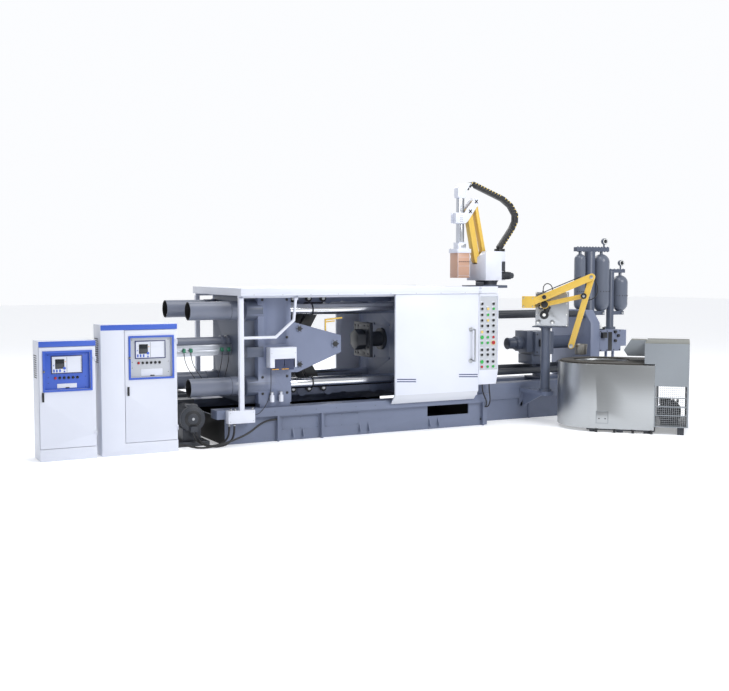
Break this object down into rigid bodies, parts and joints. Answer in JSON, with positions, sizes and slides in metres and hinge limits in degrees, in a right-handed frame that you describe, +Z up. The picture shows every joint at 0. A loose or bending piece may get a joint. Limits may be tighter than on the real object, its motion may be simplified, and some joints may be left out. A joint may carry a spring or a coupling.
{
  "type": "cold-chamber die casting machine",
  "caption": "Cold-chamber die casting machine with toggle clamp, sliding guards, spray arm, ladling arm, holding furnace and control cabinets.",
  "frame": {"origin": "centre of the main bed's underside, on the floor", "axes": "+X from the closing end to the injection end, +Y to the rear, +Z up"},
  "size_m": [9.849, 3.8862, 3.5659],
  "materials": {
    "casting": "painted satin blue-grey",
    "bed": "painted satin blue-grey",
    "bar": "polished",
    "sleeve": "painted satin grey",
    "toggle": "machined and painted",
    "toggle_dark": "black",
    "hydraulic": "painted dark blue-grey",
    "white": "painted satin off-white",
    "connector": "satin",
    "steel": "satin",
    "accumulator": "painted satin grey",
    "aluminium": "anodised",
    "copper": "satin",
    "chain": "matt",
    "yellow": "painted satin yellow",
    "furnace": "satin",
    "furnace_top": "satin",
    "dark": "satin",
    "ladle": "coated",
    "lining": "matt",
    "screen": "gloss",
    "cable": "matt"
  },
  "bodies": {
    "machine": {"main_bed": "bed", "injection_bed": "bed", "end_platen": "casting", "moving_platen": "casting", "fixed_platen": "casting", "tie_bars": "bar", "tie_bar_sleeves": "sleeve", "toggle_long_links": "toggle", "toggle_short_links": "toggle_dark", "closing_cylinder": "hydraulic", "sensor_rail": "steel", "sensor_connectors": "connector", "ejector": "toggle_dark", "canopy": "white", "canopy_posts": "white", "control_panel": "white", "junction_box": "white", "lubrication_unit": "white", "pump_motor": "hydraulic", "oil_tank": "hydraulic", "injection_bars": "bar", "injection_plate": "casting", "injection_cylinder": "hydraulic", "hydraulic_block": "hydraulic", "accumulator_bottles": "accumulator", "accumulator_cylinders": "accumulator", "sprayer_base": "white", "ladler_column": "steel", "ladler_gearbox": "steel", "furnace_tank": "furnace", "furnace_crucible": "lining", "furnace_box": "furnace_top", "furnace_blower": "dark", "furnace_base": "dark", "large_cabinet": "white", "small_cabinet": "white", "floor_cables": "cable", "bed_cable": "cable", "panel_cables": "cable", "sensor_cables": "cable", "lubrication_cable": "cable", "ladler_cable": "cable"},
    "front_door": {"safety_door": "white", "door_handle": "steel"},
    "rear_door": {"rear_safety_door": "white"},
    "sprayer": {"sprayer_housing": "white", "sprayer_arms": "yellow", "sprayer_column": "aluminium", "sprayer_head": "white", "spray_box": "copper", "energy_chain": "chain"},
    "ladler_arm": {"ladler_arm": "yellow"},
    "ladler_link": {"ladler_link": "yellow"},
    "ladler_forearm": {"ladler_forearm": "yellow", "ladler_elbow_cable": "cable"},
    "ladle": {"ladle": "ladle"},
    "large_door": {"large_door": "white", "large_window": "screen"},
    "small_door": {"small_door": "white", "small_window": "screen"}
  },
  "joints": [
    {"name": "front_door_slide", "type": "slide", "parent": "machine", "child": "front_door", "axis": [-1, 0, 0], "range_m": [0, 1.35]},
    {"name": "rear_door_slide", "type": "slide", "parent": "machine", "child": "rear_door", "axis": [-1, 0, 0], "range_m": [0, 1.35]},
    {"name": "sprayer_slew", "type": "hinge", "parent": "machine", "child": "sprayer", "pos_m": [2.215, -0.45, 2.06], "axis": [0, 0, 1], "range_deg": [-100, 60]},
    {"name": "ladler_arm_hinge", "type": "hinge", "parent": "machine", "child": "ladler_arm", "pos_m": [2.78361, -1.12284, 1.879], "axis": [0.6947, 0.7193, 0], "range_deg": [-20, 5]},
    {"name": "ladler_link_hinge", "type": "hinge", "parent": "machine", "child": "ladler_link", "pos_m": [2.77857, -1.11798, 1.77], "axis": [0.6947, 0.7193, 0], "range_deg": [-22, 6]},
    {"name": "ladler_forearm_hinge", "type": "hinge", "parent": "ladler_arm", "child": "ladler_forearm", "pos_m": [3.26557, -1.58827, 2.172], "axis": [0.6947, 0.7193, 0], "range_deg": [-3, 10]},
    {"name": "ladle_tilt", "type": "hinge", "parent": "ladler_forearm", "child": "ladle", "pos_m": [3.06055, -1.39029, 1.169], "axis": [0.6947, 0.7193, 0], "range_deg": [-60, 5]},
    {"name": "large_door_hinge", "type": "hinge", "parent": "machine", "child": "large_door", "pos_m": [-2.707, -0.911, 0.8], "axis": [0, 0, 1], "range_deg": [0, 110]},
    {"name": "small_door_hinge", "type": "hinge", "parent": "machine", "child": "small_door", "pos_m": [-3.728, -0.934, 0.7], "axis": [0, 0, 1], "range_deg": [0, 110]}
  ],
  "couplings": [
    {"joint": "ladler_link_hinge", "follows": "ladler_arm_hinge", "ratio": 1.07},
    {"joint": "ladler_forearm_hinge", "follows": "ladler_arm_hinge", "ratio": -0.43}
  ]
}
